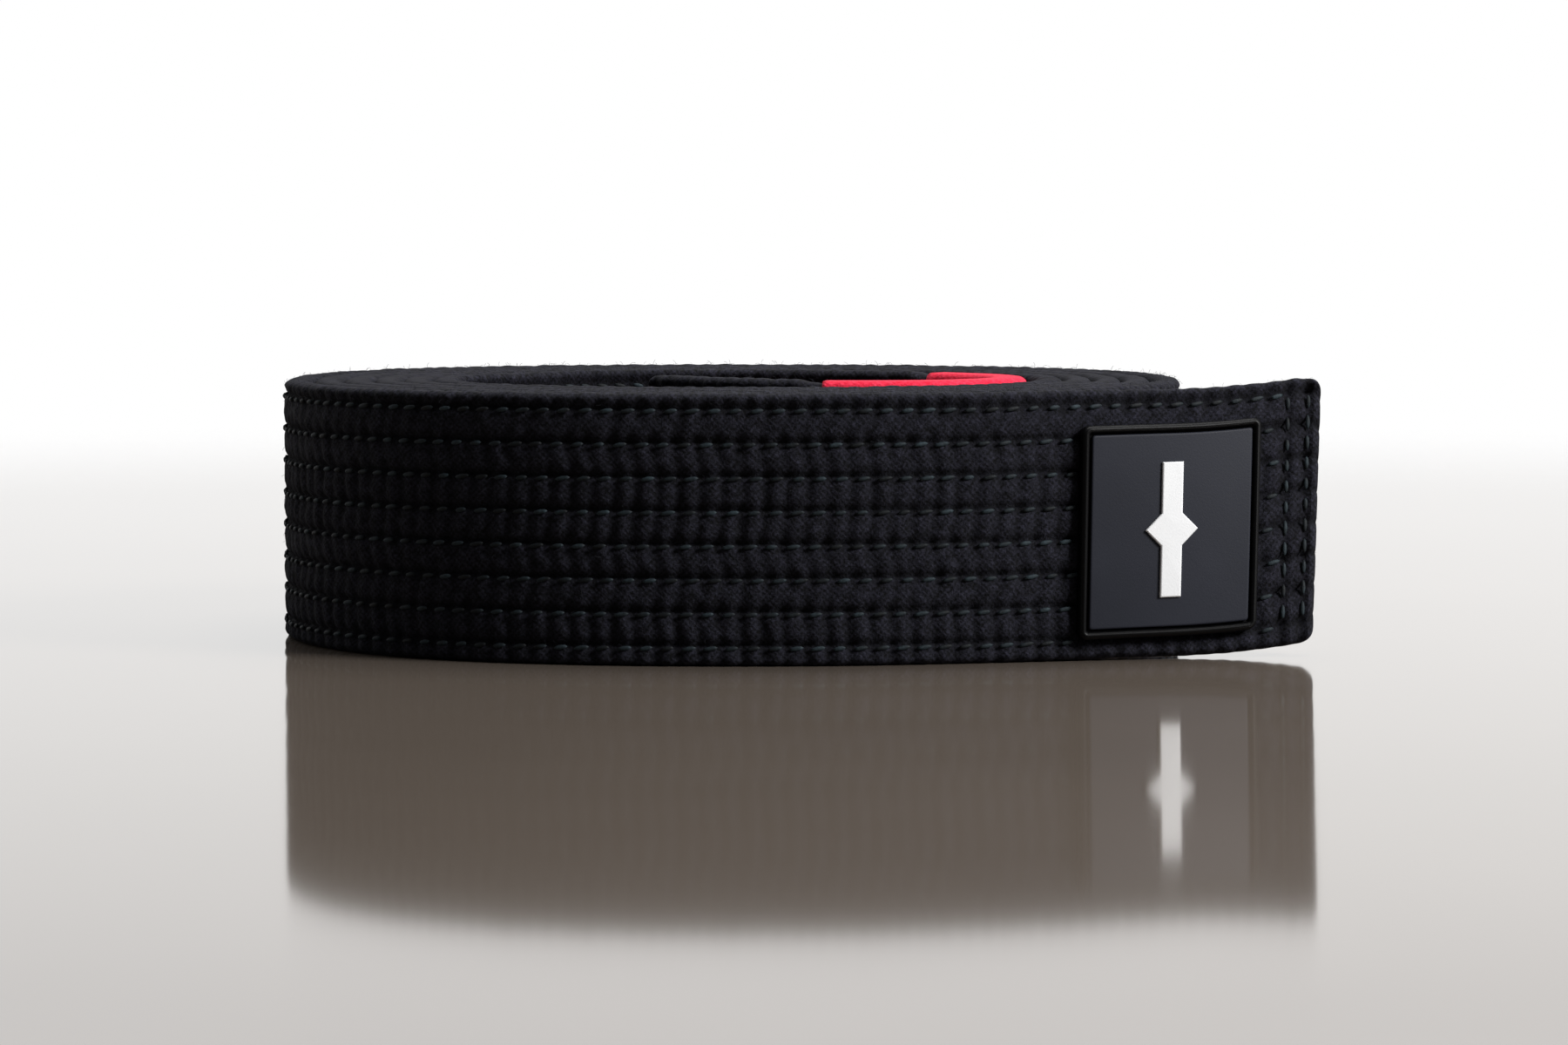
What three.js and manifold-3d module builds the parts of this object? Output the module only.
// A martial arts belt, rolled up loosely and standing on its long edge.
//
// The belt is one long flat strip: a cotton cover folded round two cotton core plies and
// quilted through with eight rows of lock stitching. One end lies loose on the outside of
// the roll and carries a moulded patch. The other end turns back inside the hollow of the
// roll and carries a red rank bar, which is a sleeve sewn round the belt.
//
// Everything is drawn on the flat belt first: `along` runs from the patch end, `out` is
// square to the belt and positive on its outer face, and `up` is the height above its
// lower edge. One function, place(), then lays it on the rolled line. Millimetres, +Z up.

import * as THREE from "three";
import { mergeVertices } from "three/addons/utils/BufferGeometryUtils.js";
import Module from "manifold-3d";

// ---------- driving dimensions: the strip ----------
const beltWidth = 40; // it stands on its edge, so this is its height
const coverWall = 0.8;
const plyThickness = 0.95;
const plyCount = 2;
const coreClearance = 0.15; // between plies, and between a ply and the cover
const seamSlit = 0.5; // where the folded cover's two edges meet on the inner face
const beltThickness =
  2 * coverWall + plyCount * plyThickness + (plyCount + 1) * coreClearance;

// ---------- driving dimensions: the stitching ----------
const stitchRows = 8;
const rowMargin = 2.65; // from the belt's edge to the first row
const threadWidth = 0.7;
const threadHeight = 0.25;
const threadClearance = 0.12;
const endStitchSetback = 2.2; // the first row across the end
const endStitchPitch = 3.1;
const endStitchMargin = 3.5;
const endStitchColumns = 2;

// ---------- driving dimensions: the roll ----------
const rollHalfLength = 72.6;
const rollHalfDepth = 62.9;
const rollSquareness = 2.3; // 2 is an ellipse, and more is boxier
const turns = 5 + 1 / 3;
const airGap = 0.26; // between one turn's threads and the turn outside it
const stationsPerTurn = 15;
const tailLength = 61; // the straight end, past the point where it leaves the roll
const tailSteps = 12;
const tailAngle = -71.2; // degrees round the roll, where it leaves
const tailFlexPastPatch = 12.6; // where it bends, past the patch
const tailLean = 12; // degrees that the very end leans back
const tailLift = 1.6; // how far the very end stands off the table
const tailLiftStart = 22; // from the patch end

// ---------- driving dimensions: the inner end and its rank bar ----------
const tipLength = 33.7; // the black end past the bar
const rankBarLength = 58;
const rankBarWall = 0.6;
const rankBarClearance = 0.15;
const rankBarFloorGap = 0.15;
const rankBarStitchInset = 2; // its own two rows, from each of its ends
const flexGap = 0.8; // the slit that stands for a bend in the cloth
const bendGap = 1.4; // the bar's bend stays this far inside the last turn

// ---------- driving dimensions: the patch ----------
const patchLength = 27.5;
const patchFromEnd = 9.9;
const patchFromBottom = 3;
const patchFromTop = 5.5;
const patchThickness = 1.5;
const patchFloor = 0.6;
const patchRim = 1.45;
const patchGap = 0.25; // between the patch's pieces, and between it and the thread below
const panelThickness = 0.45;
const emblemThickness = 0.3;
const emblemHeight = 20;
const emblemWidth = 3.2;
const emblemDiamond = 8; // across the diamond in the middle of the bar

const cotton = { color: "#17181c", roughness: 0.95, metalness: 0 };
const coreCotton = { color: "#2a2b2f", roughness: 0.95, metalness: 0 };
const thread = { color: "#34444a", roughness: 0.7, metalness: 0 };
const barCotton = { color: "#e5283f", roughness: 0.85, metalness: 0 };
const softVinyl = { color: "#111114", roughness: 0.35, metalness: 0 };
const greyVinyl = { color: "#3f4048", roughness: 0.5, metalness: 0 };
const whiteVinyl = { color: "#e8e9ea", roughness: 0.5, metalness: 0 };

// ---------- the line of the belt, seen from above, through the middle of its thickness ----------

const threadTop = beltThickness / 2 + threadClearance + threadHeight;
const layerPitch = threadTop + beltThickness / 2 + airGap;
const radians = THREE.MathUtils.degToRad;

// A point on the spiral, `turn` turns in from where the tail leaves it. The winding runs
// clockwise from above, and each turn lies one pitch inside the last.
function spiralPoint(turn) {
  const angle = radians(tailAngle - 360 * turn);
  const inset = beltThickness / 2 + layerPitch * turn;
  const squared = (share) => Math.sign(share) * Math.abs(share) ** (2 / rollSquareness);
  return new THREE.Vector3(
    (rollHalfLength - inset) * squared(Math.cos(angle)),
    (rollHalfDepth - inset) * squared(Math.sin(angle)),
    0,
  );
}

// The inner end, as shares of the hollow's half length and half depth. It leaves the last
// turn behind on the left, crosses the hollow, bends back at the right and ends in the middle.
const hollowRight = rollHalfLength - layerPitch * (turns - 0.5) - beltThickness;
const hollowDepth = rollHalfDepth - layerPitch * (turns - 0.5) - beltThickness;
const bendReach =
  hollowRight - bendGap - threadTop - 2 * rankBarClearance - rankBarWall;
const innerLine = [
  [-0.85, 0.53],
  [-0.66, 0.71],
  [-0.43, 0.79],
  [-0.14, 0.8],
  [0.16, 0.71],
  [0.45, 0.56],
  [0.75, 0.34],
  [0.95, 0.11],
  [1, -0.11],
  [0.93, -0.34],
  [0.74, -0.51],
  [0.49, -0.57],
  [0.27, -0.55],
  [0.04, -0.43],
  [-0.17, -0.22],
  [-0.33, -0.04],
].map(([x, y]) => new THREE.Vector3(x * bendReach, y * hollowDepth, 0));

const pointsPerTurn = 3 * stationsPerTurn;
const spiralSteps = Math.round(turns * stationsPerTurn) * (pointsPerTurn / stationsPerTurn);
const leaves = spiralPoint(0);
const tailDirection = leaves.clone().sub(spiralPoint(0.001)).normalize();
const tailPoints = Array.from({ length: tailSteps }, (_, i) =>
  leaves.clone().addScaledVector(tailDirection, tailLength * (1 - i / tailSteps)),
);
const linePoints = [
  ...tailPoints,
  ...Array.from({ length: spiralSteps + 1 }, (_, i) => spiralPoint(i / pointsPerTurn)),
  ...innerLine,
];
const line = new THREE.CatmullRomCurve3(linePoints);
const spans = linePoints.length - 1;
const samplesPerSpan = 16;
line.arcLengthDivisions = spans * samplesPerSpan;
const lengths = line.getLengths();
const beltLength = lengths[lengths.length - 1];
const alongPoint = (index) => lengths[index * samplesPerSpan];

// ---------- places along the belt ----------

const patchStart = patchFromEnd;
const patchEnd = patchFromEnd + patchLength;
const tailFlexAt = patchEnd + tailFlexPastPatch;
const tailEnd = tailFlexAt - flexGap / 2;
const rollStart = tailFlexAt + flexGap / 2;
const tipStart = beltLength - tipLength + flexGap;
const rollEnd = beltLength - tipLength;
const barEnd = rollEnd;
const barStart = barEnd - rankBarLength;
const tipEndStitch = beltLength - endStitchSetback;

// Every solid is cut at the same stations, so that neighbours keep their clearance where the
// belt curves or twists: equal steps on the straight tail, equal angles round the roll, so
// that the turns stay parallel, two to each point of the inner end, and the solids' own ends.
const marks = [0, tailEnd, rollStart, barStart, barEnd, tipStart, beltLength];
const firstSpiral = tailPoints.length;
const lastSpiral = firstSpiral + spiralSteps;
for (let i = 0; i < firstSpiral; i++) marks.push(alongPoint(i));
for (let i = firstSpiral; i < lastSpiral; i += pointsPerTurn / stationsPerTurn)
  marks.push(alongPoint(i));
for (let i = lastSpiral; i <= spans; i++) marks.push(alongPoint(i));
for (let i = lastSpiral + 1; i < spans; i++)
  marks.push((alongPoint(i) + alongPoint(i + 1)) / 2);
const nearest = 0.3;
const stations = marks.sort((a, b) => a - b).filter((s, i) => i === 0 || s - marks[i - 1] > 1e-6);

// ---------- how the edge sits: the tail leans and lifts, and the inner end stands on the bar ----------

const ramp = (s, from, to) => THREE.MathUtils.clamp((s - from) / (to - from), 0, 1);
const leanAt = (s) => radians(tailLean) * ramp(s, tailFlexAt, 0);
const innerLift = rankBarClearance + rankBarWall + rankBarFloorGap;
const innerLiftStart = alongPoint(lastSpiral);
function liftAt(s) {
  const tail = tailLift * ramp(s, tailLiftStart, 0) ** 2;
  const edge = (beltThickness / 2) * Math.sin(leanAt(s));
  return tail + edge + innerLift * ramp(s, innerLiftStart, barStart);
}

// The place in the rolled belt of a point on the flat one.
function place(s, out, up) {
  const t = line.getUtoTmapping(0, THREE.MathUtils.clamp(s, 0, beltLength));
  const tangent = line.getTangent(t);
  const outward = new THREE.Vector3(-tangent.y, tangent.x, 0).normalize();
  const lean = leanAt(s);
  return line
    .getPoint(t)
    .addScaledVector(outward, out * Math.cos(lean) - up * Math.sin(lean))
    .setZ(liftAt(s) + up * Math.cos(lean) + out * Math.sin(lean));
}

// ---------- shaping ----------

// A section in (out, up), run along the belt from one place to another.
function strip(section, from, to) {
  const cuts = [from, ...stations.filter((s) => s > from + nearest && s < to - nearest), to];
  const steps = cuts.length - 1;
  const geometry = new THREE.ExtrudeGeometry(section, { depth: steps, steps, bevelEnabled: false });
  const position = geometry.getAttribute("position");
  for (let i = 0; i < position.count; i++) {
    const s = cuts[Math.round(position.getZ(i))];
    position.setXYZ(i, ...place(s, position.getX(i), position.getY(i)).toArray());
  }
  return geometry;
}

// A face drawn in (along, up), given a thickness in `out` and laid on the belt. An extruded
// face looks along +out with `along` to the left, so its x is measured back from the end.
function plate(face, out, thickness) {
  const geometry = new THREE.ExtrudeGeometry(face, { depth: thickness, bevelEnabled: false });
  const position = geometry.getAttribute("position");
  for (let i = 0; i < position.count; i++) {
    const along = -position.getX(i);
    const outside = out + position.getZ(i);
    position.setXYZ(i, ...place(along, outside, position.getY(i)).toArray());
  }
  return geometry;
}

function polygon(points) {
  return new THREE.Shape(points.map(([x, y]) => new THREE.Vector2(x, y)));
}

function rectangle(left, bottom, right, top) {
  return polygon([
    [left, bottom],
    [right, bottom],
    [right, top],
    [left, top],
  ]);
}

// ---------- sections of the strip ----------

const half = beltThickness / 2;

// The cover: folded round the core, open at a slit half way up the inner face.
function coverSection() {
  const inside = half - coverWall;
  const slitLow = (beltWidth - seamSlit) / 2;
  const slitHigh = (beltWidth + seamSlit) / 2;
  return polygon([
    [-half, slitLow],
    [-half, 0],
    [half, 0],
    [half, beltWidth],
    [-half, beltWidth],
    [-half, slitHigh],
    [-inside, slitHigh],
    [-inside, beltWidth - coverWall],
    [inside, beltWidth - coverWall],
    [inside, coverWall],
    [-inside, coverWall],
    [-inside, slitLow],
  ]);
}

// One ply of the core, counted from the inner face.
function plySection(index) {
  const left = -half + coverWall + coreClearance + index * (plyThickness + coreClearance);
  const edge = coverWall + coreClearance;
  return rectangle(left, edge, left + plyThickness, beltWidth - edge);
}

// One row of thread on the outer face.
function threadSection(up) {
  const base = half + threadClearance;
  return polygon([
    [base, up - threadWidth / 2],
    [base + threadHeight, up],
    [base, up + threadWidth / 2],
  ]);
}

// The rank bar: a sleeve all round the belt and its stitching.
function sleeveSection() {
  const inner = -half - rankBarClearance;
  const outer = threadTop + rankBarClearance;
  const low = -rankBarClearance;
  const high = beltWidth + rankBarClearance;
  const shape = rectangle(
    inner - rankBarWall,
    low - rankBarWall,
    outer + rankBarWall,
    high + rankBarWall,
  );
  shape.holes.push(rectangle(inner, low, outer, high));
  return shape;
}

// ---------- the assembly ----------

const belt = new THREE.Group();
function add(name, geometry, look) {
  const mesh = new THREE.Mesh(geometry, new THREE.MeshStandardMaterial(look));
  mesh.name = name;
  belt.add(mesh);
}

const rowPitch = (beltWidth - 2 * rowMargin) / (stitchRows - 1);
const stretches = { tail: [0, tailEnd], roll: [rollStart, rollEnd], tip: [tipStart, beltLength] };

for (const [stretch, [from, to]] of Object.entries(stretches)) {
  add(`${stretch}_cover`, strip(coverSection(), from, to), cotton);
  for (let ply = 0; ply < plyCount; ply++)
    add(`${stretch}_core_ply_${ply + 1}`, strip(plySection(ply), from, to), coreCotton);
  for (let row = 0; row < stitchRows; row++) {
    const section = threadSection(rowMargin + row * rowPitch);
    add(`${stretch}_stitch_row_${row + 1}`, strip(section, from, to), thread);
  }
}

// The rows of stitching across the belt, which close its two ends and hold the rank bar.
// They lie over the long rows.
function crossStitch(name, s, out, look) {
  const face = rectangle(
    -s - threadWidth / 2,
    endStitchMargin,
    -s + threadWidth / 2,
    beltWidth - endStitchMargin,
  );
  add(name, plate(face, out, threadHeight), look);
}

const overThreads = threadTop + threadClearance;
for (let column = 0; column < endStitchColumns; column++) {
  const setback = column * endStitchPitch;
  crossStitch(`tail_end_stitch_${column + 1}`, endStitchSetback + setback, overThreads, thread);
  crossStitch(`tip_end_stitch_${column + 1}`, tipEndStitch - setback, overThreads, thread);
}

add("rank_bar_sleeve", strip(sleeveSection(), barStart, barEnd), barCotton);
const overSleeve = threadTop + rankBarClearance + rankBarWall + threadClearance;
const barStitches = [barStart + rankBarStitchInset, barEnd - rankBarStitchInset];
barStitches.forEach((s, i) => crossStitch(`rank_bar_stitch_${i + 1}`, s, overSleeve, barCotton));

// ---------- the patch ----------

const patchBack = threadTop + patchGap;
const patchLow = patchFromBottom;
const patchHigh = beltWidth - patchFromTop;
const patchMiddle = [-(patchStart + patchEnd) / 2, (patchLow + patchHigh) / 2];

// A slab on the patch's place, in from its edges, with its back face at `out`.
function patchSlab(inset, out, thickness) {
  const section = rectangle(out, patchLow + inset, out + thickness, patchHigh - inset);
  return strip(section, patchStart + inset, patchEnd - inset);
}

// The base is a tray: a plate with its middle sunk, which leaves the raised rim.
const manifold = await Module();
manifold.setup();

function solid(geometry) {
  geometry.deleteAttribute("normal");
  geometry.deleteAttribute("uv");
  const merged = mergeVertices(geometry);
  return new manifold.Manifold(
    new manifold.Mesh({
      numProp: 3,
      vertProperties: merged.attributes.position.array,
      triVerts: new Uint32Array(merged.index.array),
    }),
  );
}

function geometryOf(made) {
  const mesh = made.getMesh();
  const geometry = new THREE.BufferGeometry();
  geometry.setAttribute("position", new THREE.BufferAttribute(mesh.vertProperties, 3));
  geometry.setIndex(new THREE.BufferAttribute(mesh.triVerts, 1));
  return geometry;
}

const pocketDepth = patchThickness; // the pocket's cutter runs out past the rim
const tray = solid(patchSlab(0, patchBack, patchThickness)).subtract(
  solid(patchSlab(patchRim, patchBack + patchFloor, pocketDepth)),
);
add("patch_base", geometryOf(tray), softVinyl);

const panelBack = patchBack + patchFloor + patchGap;
add("patch_panel", patchSlab(patchRim + patchGap, panelBack, panelThickness), greyVinyl);

// A plain emblem: an upright bar with a diamond in its middle.
function emblemFace() {
  const [x, y] = patchMiddle;
  const bar = emblemWidth / 2;
  const reach = emblemDiamond / 2;
  return polygon([
    [x - bar, y - emblemHeight / 2],
    [x + bar, y - emblemHeight / 2],
    [x + bar, y - reach + bar],
    [x + reach, y],
    [x + bar, y + reach - bar],
    [x + bar, y + emblemHeight / 2],
    [x - bar, y + emblemHeight / 2],
    [x - bar, y + reach - bar],
    [x - reach, y],
    [x - bar, y - reach + bar],
  ]);
}
const emblemBack = panelBack + panelThickness + patchGap;
add("patch_emblem", plate(emblemFace(), emblemBack, emblemThickness), whiteVinyl);

// ---------- the part's frame: the middle of the box that holds it, at its bottom ----------

const box = new THREE.Box3().setFromObject(belt);
const middle = box.getCenter(new THREE.Vector3());
belt.position.set(-middle.x, -middle.y, -box.min.z);

const part = new THREE.Group();
part.add(belt);

export default part;
